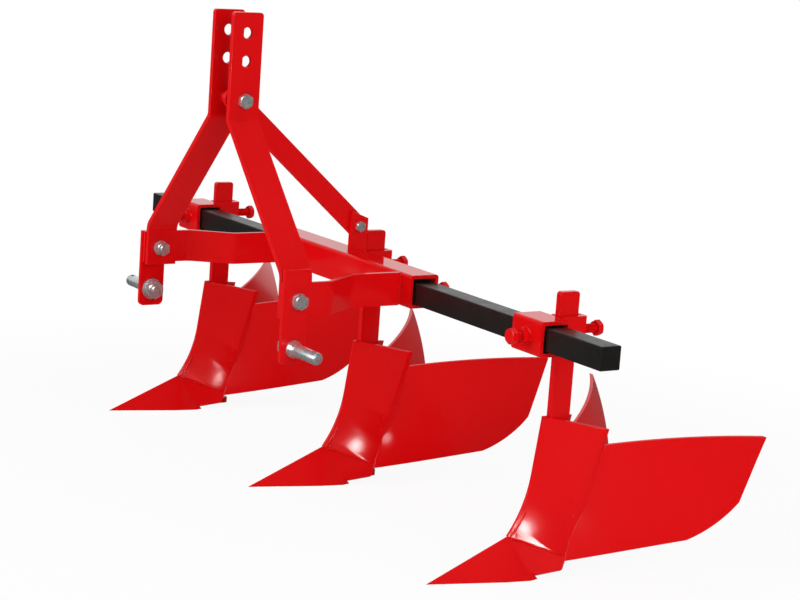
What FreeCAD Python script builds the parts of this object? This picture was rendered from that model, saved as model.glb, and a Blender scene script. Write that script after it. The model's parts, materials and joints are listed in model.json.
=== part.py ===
import FreeCAD, Part
import math
import os

# Three-row ridger for a small tractor's three-point linkage. Millimetres, +Z up.
# It travels towards -Y, its left side is +X, and the origin is on the floor below the toolbar's middle.

V = FreeCAD.Vector

# Toolbar and the rows on it
bar_side = 40.0
bar_length = 1570.0
bar_height = 408.5          # floor to the toolbar's axis, with the share points on the floor
bar_edge_radius = 2.5
row_spacing = 600.0

# Square tube of the sleeves that ride on the toolbar
tube_clearance = 3.0        # between its bore and the toolbar, on each side
tube_wall = 7.0
tube_edge_radius = 6.0
centre_sleeve_length = 500.0
clamp_sleeve_length = 80.0

# Screws (M16) with hex heads, and the nuts that are welded on for them
screw_radius = 8.0
screw_across_flats = 24.0
screw_head_height = 10.0
nut_height = 13.0
thread_clearance = 0.2
tip_clearance = 0.3         # between a screw's tip and what it presses on
clamp_screw_reach = 30.0    # from the sleeve's wall to the screw head's middle
shank_screw_reach = 33.0    # from the socket's back to the screw head's middle
shank_screw_lift = 5.0      # above the toolbar's axis
thread_end = 4.0            # how far a bolt stands out of its nut
sleeve_screw_inset = 25.0   # from the centre sleeve's end

# Shanks and the sockets that hold them
shank_width = 40.0
shank_thickness = 12.0
shank_above_bar = 70.5      # toolbar's axis to the shank's top
shank_corner_radius = 6.0
socket_wall = 8.0
socket_side_clearance = 1.0
socket_front_clearance = 0.5
socket_rear_clearance = 5.5
socket_height = 60.0
socket_edge_radius = 5.0

# Ridging body: breast, share and heel. Pairs are (forwards or outwards, down or up), as named.
breast_height = 268.5       # floor to the ridge's top
breast_lead = 17.0          # shank's front face to where the leaves would meet at the top, forwards
breast_fall = (19.0, 150.9)  # ridge's top to its knee, forwards and down
breast_toe = (35.9, 51.3)   # ridge's knee to its foot, forwards and down
breast_run_on = (0.35, 0.2)  # the sheet runs on past top and foot by these parts before it is trimmed
breast_bend_radius = 460.0
breast_ridge_radius = 214.0  # of the same bend along the ridge
breast_nose_depth = 4.5     # the sharp ridge is ground back this far
breast_sweep = 1.751        # backwards per unit outwards
breast_drop = 1.0           # downwards per unit outwards
breast_top_drop = 0.335     # of the cut top edge, downwards per unit outwards
breast_top_half = 52.0
breast_side = ((48.1, 35.0), (43.5, 85.0), (45.9, 147.0))   # side edge from the crease up: half-width, height
body_plate = 6.0            # thickness of breast and wings
share_apex_lead = 33.9      # top of the share, forwards of the toolbar's axis
share_point_lead = 160.6    # from the apex to the share's point, forwards
share_shoulder_half = 40.0
share_shoulder_lead = 24.0  # from the apex to the shoulder, forwards
share_waist_half = 48.0
share_waist_trail = 20.0    # from the apex to the waist, backwards
share_heel_half = 44.0
share_rear = 3.0            # rear edge of the share's sole, behind the toolbar's axis
share_wall = 8.0
share_cheek_start = (44.0, 0.5, 7.4)     # outwards, back and up: front end of the cheek's lower edge
share_cheek_end = (48.5, 57.0, 35.2)     # rear end of the crease between cheek and breast
share_cheek_root = (30.0, 17.8)          # outwards and up: corner inside the sole's body
share_cheek_low = (55.1, 14.6)           # outwards and up: rear end of the cheek's lower edge
share_cheek_tip = (50.7, 27.9)           # outwards and up: corner above it
frog_thickness = 10.0
frog_inset = 5.0            # its front edge behind the line where the leaves would meet
frog_top = 235.0
heel_height = 12.0
heel_half_width = 10.0
heel_length = 82.0
heel_end_radius = 9.0

# Wings (mouldboards) behind the breast: plate rolled about a slanting axis, cut to an outline.
# The outline's points are (back from the toolbar's axis, up from the floor), seen from the side.
wing_roll_centre = (405.5, -72.3, 172.0)    # a point on the axis
wing_roll_axis = (1.0, 1.8, -1.6)           # its direction
wing_roll_seat = (44.3, 82.5, 102.0)         # a point on the hollow front face, near the breast
wing_top_front = (113.0, 224.0)
wing_top_rear = (301.5, 269.5)
wing_rear_bow = (309.5, 205.0)
wing_rear_low = (310.0, 141.0)
wing_corner_bow = (285.0, 96.0)
wing_lower_rear = (248.0, 65.0)
wing_lower_bow = (150.0, 43.0)
wing_lower_front = (50.0, 28.0)
wing_outline_depth = 340.0  # how far outwards the outline is cut
stay_height = 150.0         # floor to the top of the stay between the wings
stay_depth = 30.0
stay_thickness = 8.0
stay_reach = 70.0           # shank's rear face to the cross bar
stay_half_span = 100.0      # before the wings trim it

# Hitch frame: two joggled arms, two bent mast bars, two hitch plates
arm_height = 60.0
arm_thickness = 8.0
arm_rear_offset = 213.0     # machine's middle to the arm's middle plane at the sleeve
arm_joggle = 49.0
arm_joggle_start = -133.0
arm_joggle_end = -203.0
arm_front = -300.0
arm_bend_radius = 30.0
mast_width = 60.0
mast_thickness = 10.0
mast_front = -298.0
mast_gap = 58.4             # between the two bars at the top link
mast_top = 472.0            # above the toolbar's axis
mast_upper_bend = 282.0
mast_lower_bend = 46.0
mast_foot_bottom = -30.0
mast_bend_radius = 18.0
mast_corner_radius = 6.0
link_hole_radius = 10.0
mast_height = 466.0         # lower pins to the lower top-link hole
link_hole_pitch = 50.0
plate_width = 50.0
plate_thickness = 8.0
plate_front = -302.0
left_plate_reach = (-107.0, 57.5)    # toolbar's axis to the plate's bottom and top
right_plate_reach = (-112.0, 33.0)
plate_corner_radius = 10.0

# Lower hitch pins (category 1)
pin_radius = 11.0
pin_reach = 82.5            # outer face of the plate to the pin's end
pin_collar_radius = 15.5
pin_collar_height = 5.0     # its straight rim
pin_taper_length = 12.0     # from the rim down to the pin
pin_stem_radius = 10.0
pin_stem_length = 26.0      # inner face of the plate to the stem's end
pin_below_bar = 80.0
pin_y = -277.0
pin_chamfer = 3.0
linch_hole_radius = 5.5
linch_hole_inset = 12.0
pin_washer_radius = 20.0
pin_washer_height = 4.0
pin_nut_across_flats = 30.0
pin_nut_height = 16.0
fit_clearance = 0.25

# Mast bolts, brace and its lug
foot_bolt_y = -272.0
foot_bolt_z = 2.5
bolt_hole_clearance = 0.5
washer_height = 3.0
washer_radius = 14.0
top_bolt_height = 316.0
spacer_radius = 12.0
brace_width = 40.0
brace_thickness = 10.0
lug_bolt_y = 5.0
lug_bolt_height = 81.0
lug_bolt_radius = 6.0
lug_bolt_across_flats = 18.0
lug_bolt_head_height = 8.0
lug_nut_height = 10.0
lug_front = -12.0
lug_rear = 24.0
lug_thickness = 10.0
lug_front_height = 110.0
lug_rear_height = 96.0

# Worked out from the values above
half_bar = bar_side / 2
half_tube = half_bar + tube_clearance + tube_wall
sleeve_lift = tube_clearance     # the toolbar lies on the centre sleeve's floor
sleeve_axis = bar_height + sleeve_lift
shank_front = half_tube + socket_front_clearance
shank_rear = shank_front + shank_width
shank_top = bar_height + shank_above_bar
shank_screw_height = bar_height + shank_screw_lift
socket_back = shank_rear + socket_rear_clearance
socket_half_gap = shank_thickness / 2 + socket_side_clearance
socket_half_width = socket_half_gap + socket_wall
ridge_top = (shank_front - breast_lead, breast_height)
ridge_knee = (ridge_top[0] - breast_fall[0], ridge_top[1] - breast_fall[1])
ridge_foot = (ridge_knee[0] - breast_toe[0], ridge_knee[1] - breast_toe[1])
share_apex = V(0, -share_apex_lead, ridge_foot[1])
arm_front_offset = arm_rear_offset + arm_joggle
arm_outer_face = arm_front_offset + arm_thickness / 2
arm_inner_face = arm_front_offset - arm_thickness / 2
mast_foot_offset = arm_inner_face - mast_thickness / 2
mast_top_offset = mast_gap / 2 + mast_thickness / 2
mast_y = mast_front + mast_width / 2
pin_height = bar_height - pin_below_bar
link_hole_height = pin_height + mast_height
plate_outer_face = arm_outer_face + plate_thickness
outline_margin = 1000.0


def box(low, high):
    size = high - low
    return Part.makeBox(size.x, size.y, size.z, low)


def rod(start, axis, radius, length):
    return Part.makeCylinder(radius, length, start, axis)


def hexagon(start, axis, across_flats, height):
    """A hex head or nut standing on start and growing along axis, with two corners up and down."""
    side = V(0, 0, 1)
    across = axis.cross(side)
    reach = across_flats / math.sqrt(3)
    corners = []
    for k in range(7):
        angle = math.radians(60 * k)
        corners.append(start + side * (reach * math.cos(angle)) + across * (reach * math.sin(angle)))
    return Part.Face(Part.makePolygon(corners)).extrude(axis * height)


def fuse(solids):
    whole = solids[0]
    for solid in solids[1:]:
        whole = whole.fuse(solid)
    return whole.removeSplitter()


def mirrored(solid):
    return solid.mirror(V(0, 0, 0), V(1, 0, 0))


def pair(solid):
    """A left-hand piece and its mirror image, in one shape."""
    return Part.makeCompound([solid, mirrored(solid)])


def rounded_path(corners, radius, offset):
    """Lines and tangent arcs along 2-D corners, moved sideways by offset (left is positive)."""
    headings = []
    for (u0, v0), (u1, v1) in zip(corners, corners[1:]):
        length = math.hypot(u1 - u0, v1 - v0)
        headings.append(((u1 - u0) / length, (v1 - v0) / length))
    moved = []
    for k, (u, v) in enumerate(corners):
        before = headings[max(k - 1, 0)]
        after = headings[min(k, len(headings) - 1)]
        share = 1 + before[0] * after[0] + before[1] * after[1]
        moved.append((u - (before[1] + after[1]) * offset / share,
                      v + (before[0] + after[0]) * offset / share))
    steps = []
    here = moved[0]
    for k in range(1, len(corners) - 1):
        before, after = headings[k - 1], headings[k]
        turn = math.atan2(before[0] * after[1] - before[1] * after[0],
                          before[0] * after[0] + before[1] * after[1])
        bend = radius - math.copysign(offset, turn)
        if offset == 0:
            bend = radius
        reach = bend * math.tan(abs(turn) / 2)
        start = (moved[k][0] - before[0] * reach, moved[k][1] - before[1] * reach)
        end = (moved[k][0] + after[0] * reach, moved[k][1] + after[1] * reach)
        inward = bend / math.cos(turn / 2) - bend
        bisector = (after[0] - before[0], after[1] - before[1])
        size = math.hypot(*bisector)
        middle = (moved[k][0] + bisector[0] / size * inward, moved[k][1] + bisector[1] / size * inward)
        steps.append((here, None, start))
        steps.append((start, middle, end))
        here = end
    steps.append((here, None, moved[-1]))
    return steps


def path_edges(steps, place):
    edges = []
    for start, middle, end in steps:
        if middle is None:
            edges.append(Part.LineSegment(place(*start), place(*end)).toShape())
        else:
            edges.append(Part.Arc(place(*start), place(*middle), place(*end)).toShape())
    return edges


def bent_strip(corners, radius, left, right, place):
    """The section of a bent plate: a path with material to left and right of it, as a face."""
    left_steps = rounded_path(corners, radius, left)
    right_steps = rounded_path(corners, radius, -right)
    edges = path_edges(left_steps, place) + path_edges(right_steps, place)
    edges.append(Part.LineSegment(place(*left_steps[0][0]), place(*right_steps[0][0])).toShape())
    edges.append(Part.LineSegment(place(*left_steps[-1][2]), place(*right_steps[-1][2])).toShape())
    return Part.Face(Part.Wire(Part.__sortEdges__(edges)))


def plate(corners, place, depth):
    """A flat plate from a straight-sided outline, pushed along depth."""
    points = [place(*corner) for corner in corners]
    return Part.Face(Part.makePolygon(points + points[:1])).extrude(depth)


def in_side_view(x):
    return lambda y, z: V(x, y, z)


def in_plan(z):
    return lambda x, y: V(x, y, z)


def in_front_view(y):
    return lambda x, z: V(x, y, z)


def round_edges(solid, radius, chosen):
    edges = [edge for edge in solid.Edges if chosen(edge)]
    return solid.makeFillet(radius, edges)


def runs_along(axis):
    def test(edge):
        if not isinstance(edge.Curve, Part.Line):
            return False
        return abs(edge.tangentAt(edge.FirstParameter).dot(axis)) > 0.999
    return test


def square_tube(x_from, x_to, axis_z):
    outer = box(V(x_from, -half_tube, axis_z - half_tube), V(x_to, half_tube, axis_z + half_tube))
    outer = round_edges(outer, tube_edge_radius, runs_along(V(1, 0, 0)))
    half_bore = half_tube - tube_wall
    bore = box(V(x_from - 1, -half_bore, axis_z - half_bore), V(x_to + 1, half_bore, axis_z + half_bore))
    return outer.cut(bore)


def threaded_boss(solid, x, z, outward):
    """A welded nut on a tube's front or rear wall, with the hole for its screw through nut and wall."""
    seat = V(x, outward.y * half_tube, z)
    nut = hexagon(seat, outward, screw_across_flats, nut_height)
    hole = rod(seat - outward * (tube_wall + 1), outward, screw_radius + thread_clearance,
               tube_wall + nut_height + 2)
    return solid.fuse(nut).cut(hole)


def set_screw(tip, outward, reach):
    """A screw whose tip presses inwards; reach is from its tip to its head's middle."""
    shaft = rod(tip, outward, screw_radius, reach - screw_head_height / 2)
    head = hexagon(tip + outward * (reach - screw_head_height / 2), outward, screw_across_flats,
                   screw_head_height)
    return shaft.fuse(head)


def socket(x, bottom):
    """A folded channel behind a sleeve; the shank stands in it and a screw comes in from behind."""
    top = bottom + socket_height
    back = socket_back + socket_wall
    channel = box(V(-socket_half_width, half_tube, bottom), V(socket_half_width, back, top))
    channel = round_edges(channel, socket_edge_radius,
                          lambda edge: runs_along(V(0, 0, 1))(edge) and edge.CenterOfMass.y > back - 1)
    slot = box(V(-socket_half_gap, half_tube - 1, bottom - 1), V(socket_half_gap, socket_back, top + 1))
    hole = rod(V(0, shank_rear, shank_screw_height), V(0, 1, 0), screw_radius + thread_clearance,
               back + 1 - shank_rear)
    channel = channel.cut(slot).cut(hole)
    channel.translate(V(x, 0, 0))
    return channel


def shank_screw(x):
    tip = V(x, shank_rear + tip_clearance, shank_screw_height)
    reach = socket_back + socket_wall + shank_screw_reach - tip.y
    return set_screw(tip, V(0, 1, 0), reach)


def make_frame():
    parts = {}
    bar = box(V(-bar_length / 2, -half_bar, bar_height - half_bar),
              V(bar_length / 2, half_bar, bar_height + half_bar))
    parts["toolbar"] = round_edges(bar, bar_edge_radius, runs_along(V(1, 0, 0)))

    half_sleeve = centre_sleeve_length / 2
    sleeve = square_tube(-half_sleeve, half_sleeve, sleeve_axis)
    tip_y = half_bar + tip_clearance
    screw_x = half_sleeve - sleeve_screw_inset
    for x in (screw_x, -screw_x):
        sleeve = threaded_boss(sleeve, x, bar_height, V(0, 1, 0))
    parts["sleeve_screws"] = pair(set_screw(V(screw_x, tip_y, bar_height), V(0, 1, 0),
                                            half_tube + clamp_screw_reach - tip_y))
    parts["centre_sleeve"] = sleeve
    parts["centre_socket"] = socket(0, sleeve_axis - half_tube)
    parts["shank_screw_centre"] = shank_screw(0)
    return parts


def make_hitch():
    parts = {}
    arm_bottom = sleeve_axis - half_tube
    arm_path = ((arm_rear_offset, -half_tube), (arm_rear_offset, arm_joggle_start),
                (arm_front_offset, arm_joggle_end), (arm_front_offset, arm_front))
    half_arm = arm_thickness / 2
    arm = bent_strip(arm_path, arm_bend_radius, half_arm, half_arm, in_plan(arm_bottom))
    arm = arm.extrude(V(0, 0, arm_height))

    mast_path = ((mast_top_offset, bar_height + mast_top), (mast_top_offset, bar_height + mast_upper_bend),
                 (mast_foot_offset, bar_height + mast_lower_bend),
                 (mast_foot_offset, bar_height + mast_foot_bottom))
    half_mast = mast_thickness / 2
    mast = bent_strip(mast_path, mast_bend_radius, half_mast, half_mast, in_front_view(mast_front))
    mast = mast.extrude(V(0, mast_width, 0))
    mast_end = bar_height + mast_top
    mast = round_edges(mast, mast_corner_radius,
                       lambda edge: runs_along(V(1, 0, 0))(edge) and edge.CenterOfMass.z > mast_end - 1)

    bolt_z = bar_height + foot_bolt_z
    bolt_hole = rod(V(0, foot_bolt_y, bolt_z), V(1, 0, 0), screw_radius + bolt_hole_clearance,
                    plate_outer_face + 1)
    pin_hole = rod(V(0, pin_y, pin_height), V(1, 0, 0), pin_stem_radius + fit_clearance, plate_outer_face + 1)
    top_z = bar_height + top_bolt_height
    top_hole = rod(V(0, mast_y, top_z), V(1, 0, 0), screw_radius + bolt_hole_clearance, plate_outer_face)
    mast = mast.cut(bolt_hole).cut(top_hole)
    for k in range(2):
        z = link_hole_height + k * link_hole_pitch
        mast = mast.cut(rod(V(0, mast_y, z), V(1, 0, 0), link_hole_radius, plate_outer_face))
    arm = arm.cut(bolt_hole)
    parts["hitch_plate_left"] = make_hitch_plate(left_plate_reach).cut(bolt_hole).cut(pin_hole)
    parts["hitch_plate_right"] = mirrored(make_hitch_plate(right_plate_reach).cut(bolt_hole).cut(pin_hole))
    for stem, piece in (("hitch_arm_", arm), ("mast_bar_", mast)):
        parts[stem + "left"] = piece
        parts[stem + "right"] = mirrored(piece)
    parts["mast_foot_bolts"] = pair(make_foot_bolt(bolt_z))
    parts["lower_pins"] = pair(make_lower_pin())
    parts["lower_pin_nuts"] = pair(make_pin_nut())
    return parts


def make_hitch_plate(reach):
    """The plate on the arm's outer face, rounded at its lower corners."""
    bottom = bar_height + reach[0]
    blank = box(V(arm_outer_face, plate_front, bottom),
                V(plate_outer_face, plate_front + plate_width, bar_height + reach[1]))
    return round_edges(blank, plate_corner_radius,
                       lambda edge: runs_along(V(1, 0, 0))(edge) and edge.CenterOfMass.z < bottom + 1)


def make_foot_bolt(z):
    """Bolt, washer and nut through hitch plate, arm and mast bar; head outside."""
    y = foot_bolt_y
    outward = V(1, 0, 0)
    inner = mast_foot_offset - mast_thickness / 2
    shaft_start = inner - washer_height - nut_height - thread_end
    washer = rod(V(plate_outer_face, y, z), outward, washer_radius, washer_height)
    head = hexagon(V(plate_outer_face + washer_height, y, z), outward, screw_across_flats, screw_head_height)
    shaft = rod(V(shaft_start, y, z), outward, screw_radius, plate_outer_face + washer_height - shaft_start)
    inner_washer = rod(V(inner - washer_height, y, z), outward, washer_radius, washer_height)
    nut = hexagon(V(inner - washer_height, y, z), V(-1, 0, 0), screw_across_flats, nut_height)
    return fuse([washer, head, shaft, inner_washer, nut])


def make_lower_pin():
    """Hitch pin: stem through the plate, tapered collar against it, and the pin with its linchpin hole."""
    stem_from = arm_outer_face - pin_stem_length
    end = plate_outer_face + pin_reach
    rim_to = plate_outer_face + pin_collar_height
    outline = ((stem_from, 0), (stem_from, pin_stem_radius), (plate_outer_face, pin_stem_radius),
               (plate_outer_face, pin_collar_radius), (rim_to, pin_collar_radius),
               (rim_to + pin_taper_length, pin_radius), (end - pin_chamfer, pin_radius),
               (end, pin_radius - pin_chamfer), (end, 0))
    points = [V(x, pin_y - r, pin_height) for x, r in outline]
    face = Part.Face(Part.makePolygon(points + points[:1]))
    pin = face.revolve(V(0, pin_y, pin_height), V(1, 0, 0), 360)
    hole = rod(V(end - linch_hole_inset, pin_y, pin_height - pin_radius - 1), V(0, 0, 1),
               linch_hole_radius, 2 * pin_radius + 2)
    return pin.cut(hole)


def make_pin_nut():
    washer = rod(V(arm_outer_face, pin_y, pin_height), V(-1, 0, 0), pin_washer_radius, pin_washer_height)
    nut = hexagon(V(arm_outer_face - pin_washer_height, pin_y, pin_height), V(-1, 0, 0),
                  pin_nut_across_flats, pin_nut_height)
    bore = rod(V(arm_outer_face + 1, pin_y, pin_height), V(-1, 0, 0), pin_stem_radius + fit_clearance,
               pin_washer_height + pin_nut_height + 2)
    return washer.fuse(nut).cut(bore)


def make_mast_fittings():
    """The bolt through both mast bars, its spacers, the brace down to the sleeve, and the brace's lug."""
    parts = {}
    top_z = bar_height + top_bolt_height
    outer = mast_gap / 2 + mast_thickness
    half_brace = brace_thickness / 2
    head = hexagon(V(outer, mast_y, top_z), V(1, 0, 0), screw_across_flats, screw_head_height)
    nut = hexagon(V(-outer, mast_y, top_z), V(-1, 0, 0), screw_across_flats, nut_height)
    shaft_from = -outer - nut_height - thread_end
    shaft = rod(V(shaft_from, mast_y, top_z), V(1, 0, 0), screw_radius, outer - shaft_from)
    top_bolt = fuse([head, shaft, nut])

    spacers = []
    for x in (-mast_gap / 2, half_brace):
        tube = rod(V(x, mast_y, top_z), V(1, 0, 0), spacer_radius, mast_gap / 2 - half_brace)
        bore = rod(V(x - 1, mast_y, top_z), V(1, 0, 0), screw_radius + fit_clearance, mast_gap / 2 + 1)
        spacers.append(tube.cut(bore))
    parts["mast_spacers"] = Part.makeCompound(spacers)

    lug_z = bar_height + lug_bolt_height
    run = V(0, lug_bolt_y - mast_y, lug_z - top_z)
    along = V(run.x, run.y, run.z).normalize()
    across = V(0, -along.z, along.y) * (brace_width / 2)
    upper = V(-half_brace, mast_y, top_z)
    lower = upper + run
    edges = [Part.LineSegment(upper + across, lower + across).toShape(),
             Part.Arc(lower + across, lower + along * (brace_width / 2), lower - across).toShape(),
             Part.LineSegment(lower - across, upper - across).toShape(),
             Part.Arc(upper - across, upper - along * (brace_width / 2), upper + across).toShape()]
    brace = Part.Face(Part.Wire(edges)).extrude(V(brace_thickness, 0, 0))
    for middle, bolt_radius in ((upper, screw_radius), (lower, lug_bolt_radius)):
        brace = brace.cut(rod(middle - V(1, 0, 0), V(1, 0, 0), bolt_radius + bolt_hole_clearance,
                              brace_thickness + 2))
    parts["mast_brace"] = brace

    lug_outline = ((lug_front, sleeve_axis + half_tube), (lug_rear, sleeve_axis + half_tube),
                   (lug_rear, bar_height + lug_rear_height), (lug_front, bar_height + lug_front_height))
    lug = plate(lug_outline, in_side_view(half_brace), V(lug_thickness, 0, 0))
    lug = lug.cut(rod(V(0, lug_bolt_y, lug_z), V(1, 0, 0), lug_bolt_radius + bolt_hole_clearance,
                      half_brace + lug_thickness + 1))
    parts["brace_lug"] = lug

    bolt_outer = half_brace + lug_thickness
    shaft_from = -half_brace - lug_nut_height - thread_end
    bolt = [hexagon(V(bolt_outer, lug_bolt_y, lug_z), V(1, 0, 0), lug_bolt_across_flats,
                    lug_bolt_head_height),
            rod(V(shaft_from, lug_bolt_y, lug_z), V(1, 0, 0), lug_bolt_radius, bolt_outer - shaft_from),
            hexagon(V(-half_brace, lug_bolt_y, lug_z), V(-1, 0, 0), lug_bolt_across_flats,
                    lug_nut_height)]
    parts["brace_bolts"] = Part.makeCompound([top_bolt, fuse(bolt)])
    return parts


def make_clamp(name, row_x):
    """A short sleeve on the toolbar with its lock screw in front and a shank socket behind."""
    sleeve = square_tube(row_x - clamp_sleeve_length / 2, row_x + clamp_sleeve_length / 2, bar_height)
    sleeve = threaded_boss(sleeve, row_x, bar_height, V(0, -1, 0))
    tip = V(row_x, -half_bar - tip_clearance, bar_height)
    screw = set_screw(tip, V(0, -1, 0), half_tube + clamp_screw_reach + tip.y)
    return {"clamp_sleeve_" + name: sleeve, "clamp_screw_" + name: screw,
            "clamp_socket_" + name: socket(row_x, bar_height - half_tube),
            "shank_screw_" + name: shank_screw(row_x)}


def make_shank():
    shank = box(V(-shank_thickness / 2, shank_front, heel_height),
                V(shank_thickness / 2, shank_rear, shank_top))
    return round_edges(shank, shank_corner_radius,
                       lambda edge: runs_along(V(1, 0, 0))(edge) and edge.CenterOfMass.z > shank_top - 1)


def rolled_plate(corners, radius, sweep, rise, half_width):
    """One half of a V of bent plates: corners give its edge in the middle plane, from which straight
    lines run outwards with the given sweep and rise. Its bends are round across those lines."""
    outward = V(1, sweep, rise).normalize()
    u_axis = (V(0, 1, 0) - outward * outward.y).normalize()
    v_axis = outward.cross(u_axis)
    flat = []
    for y, z in corners:
        flat.append((V(0, y, z).dot(u_axis), V(0, y, z).dot(v_axis)))
    inner = -2 * half_width     # the sheet reaches well past both of the edges it is trimmed to
    outer = 4 * half_width
    section = bent_strip(flat, radius, body_plate, 0,
                         lambda u, v: outward * inner + u_axis * u + v_axis * v)
    return section.extrude(outward * (outer - inner))


def make_breast():
    """Two curved plates that meet in the ridge, trimmed along the crease, the waisted sides and the top."""
    above, below = breast_run_on
    start = (ridge_top[0] + breast_fall[0] * above, ridge_top[1] + breast_fall[1] * above)
    end = (ridge_foot[0] - breast_toe[0] * below, ridge_foot[1] - breast_toe[1] * below)
    sheet = rolled_plate((start, ridge_knee, end), breast_bend_radius, breast_sweep, -breast_drop,
                         breast_top_half)
    outline = ((0, ridge_foot[1]),) + breast_side + (
        (breast_top_half, breast_height - breast_top_half * breast_top_drop), (0, breast_height))
    half = sheet.common(plate(outline, in_front_view(-outline_margin), V(0, 2 * outline_margin, 0)))
    whole = half.fuse(mirrored(half)).removeSplitter()

    steps = rounded_path((start, ridge_knee, end), breast_ridge_radius, breast_nose_depth)
    edges = path_edges(steps, in_side_view(-breast_top_half))
    corners = [steps[-1][2], (-outline_margin, steps[-1][2][1]), (-outline_margin, steps[0][0][1]),
               steps[0][0]]
    for a, b in zip(corners, corners[1:]):
        edges.append(Part.LineSegment(V(-breast_top_half, *a), V(-breast_top_half, *b)).toShape())
    nose = Part.Face(Part.Wire(Part.__sortEdges__(edges))).extrude(V(2 * breast_top_half, 0, 0))
    return whole.cut(nose)


def make_share():
    """A pointed sole that rises to the ridge's foot, with two slanting cheeks that carry the breast."""
    point = V(0, share_apex.y - share_point_lead, 0)
    sole = [point, V(share_shoulder_half, share_apex.y - share_shoulder_lead, 0),
            V(share_waist_half, share_apex.y + share_waist_trail, 0), V(share_heel_half, share_rear, 0),
            V(0, share_rear, 0)]
    outline = sole + [V(-p.x, p.y, 0) for p in reversed(sole[1:-1])]
    faces = [Part.Face(Part.makePolygon(outline + outline[:1]))]
    for a, b in zip(outline, outline[1:] + outline[:1]):
        faces.append(Part.Face(Part.makePolygon([a, b, share_apex, a])))
    nose = Part.Solid(Part.Shell(faces))
    if nose.Volume < 0:
        nose.reverse()

    start, end = V(*share_cheek_start), V(*share_cheek_end)
    inwards = (end - share_apex).cross(start - share_apex).normalize()

    def in_cheek(x, z):
        return V(x, share_apex.y - (inwards.x * x + inwards.z * (z - share_apex.z)) / inwards.y, z)
    corners = [share_apex, in_cheek(*share_cheek_root), start, in_cheek(*share_cheek_low),
               in_cheek(*share_cheek_tip), end]
    cheek = Part.Face(Part.makePolygon(corners + corners[:1])).extrude(inwards * share_wall)
    cheek = cheek.common(box(V(0, -outline_margin, 0), V(outline_margin, outline_margin, outline_margin)))
    return fuse([nose, cheek, mirrored(cheek)])


def make_frog():
    """The web between shank, breast and share, in the body's middle plane."""
    profile = ((ridge_knee[0] + (frog_top - ridge_knee[1]) * breast_fall[0] / breast_fall[1], frog_top),
               ridge_knee, ridge_foot, (share_apex.y, heel_height))
    corners = [(y + frog_inset, z) for y, z in profile]
    corners += [(shank_front, heel_height), (shank_front, frog_top)]
    return plate(corners, in_side_view(-frog_thickness / 2), V(frog_thickness, 0, 0))


def largest(shape):
    """The main piece of a shape that a cut has trimmed."""
    return max(shape.Solids, key=lambda solid: solid.Volume)


def make_heel():
    heel = box(V(-heel_half_width, share_rear, 0),
               V(heel_half_width, share_rear + heel_length, heel_height))
    return round_edges(heel, heel_end_radius,
                       lambda edge: runs_along(V(0, 0, 1))(edge) and edge.CenterOfMass.y > share_rear + 1)


def make_wing():
    """The left mouldboard: rolled plate, hollow towards the front, cut to its outline."""
    axis = V(*wing_roll_axis).normalize()
    centre = V(*wing_roll_centre)
    radius = V(*wing_roll_seat).distanceToLine(centre, axis)
    start = centre - axis * outline_margin
    roll = rod(start, axis, radius + body_plate, 2 * outline_margin)
    roll = roll.cut(rod(start, axis, radius, 2 * outline_margin))

    def at(point):
        return V(0, point[0], point[1])
    edges = [Part.Arc(at(wing_lower_front), at(wing_lower_bow), at(wing_lower_rear)).toShape(),
             Part.Arc(at(wing_lower_rear), at(wing_corner_bow), at(wing_rear_low)).toShape(),
             Part.Arc(at(wing_rear_low), at(wing_rear_bow), at(wing_top_rear)).toShape(),
             Part.LineSegment(at(wing_top_rear), at(wing_top_front)).toShape(),
             Part.LineSegment(at(wing_top_front), at(wing_lower_front)).toShape()]
    window = Part.Face(Part.Wire(edges)).extrude(V(wing_outline_depth, 0, 0))
    return largest(roll.common(window))


def make_stay(wing):
    """A cross bar between the wings with a web to the shank's rear face."""
    bottom = stay_height - stay_depth
    bar_front = shank_rear + stay_reach
    bar = box(V(-stay_half_span, bar_front, bottom),
              V(stay_half_span, bar_front + stay_thickness, stay_height))
    bar = largest(bar.cut(wing).cut(mirrored(wing)))
    web = box(V(-stay_thickness / 2, shank_rear, bottom), V(stay_thickness / 2, bar_front, stay_height))
    return fuse([bar, web])


def make_body():
    shank = make_shank()
    breast = make_breast().cut(shank)
    share = largest(make_share().cut(breast))
    frog = largest(make_frog().cut(breast).cut(share))
    wing = largest(make_wing().cut(breast).cut(share))
    return {"shank": shank, "breast": breast, "share": share, "frog": frog, "heel": make_heel(),
            "wing_stay": make_stay(wing), "wing_left": wing, "wing_right": mirrored(wing)}


def make_all():
    parts = {}
    parts.update(make_frame())
    parts.update(make_hitch())
    parts.update(make_mast_fittings())
    rows = {"left": row_spacing, "centre": 0.0, "right": -row_spacing}
    body = make_body()
    for name, x in rows.items():
        if x:
            parts.update(make_clamp(name, x))
        for piece, solid in body.items():
            copy = solid.copy()
            copy.translate(V(x, 0, 0))
            parts[name + "_" + piece] = copy
    return parts


os.makedirs("parts", exist_ok=True)
for node, shape in make_all().items():
    shape.exportStep("parts/" + node + ".step")
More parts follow.
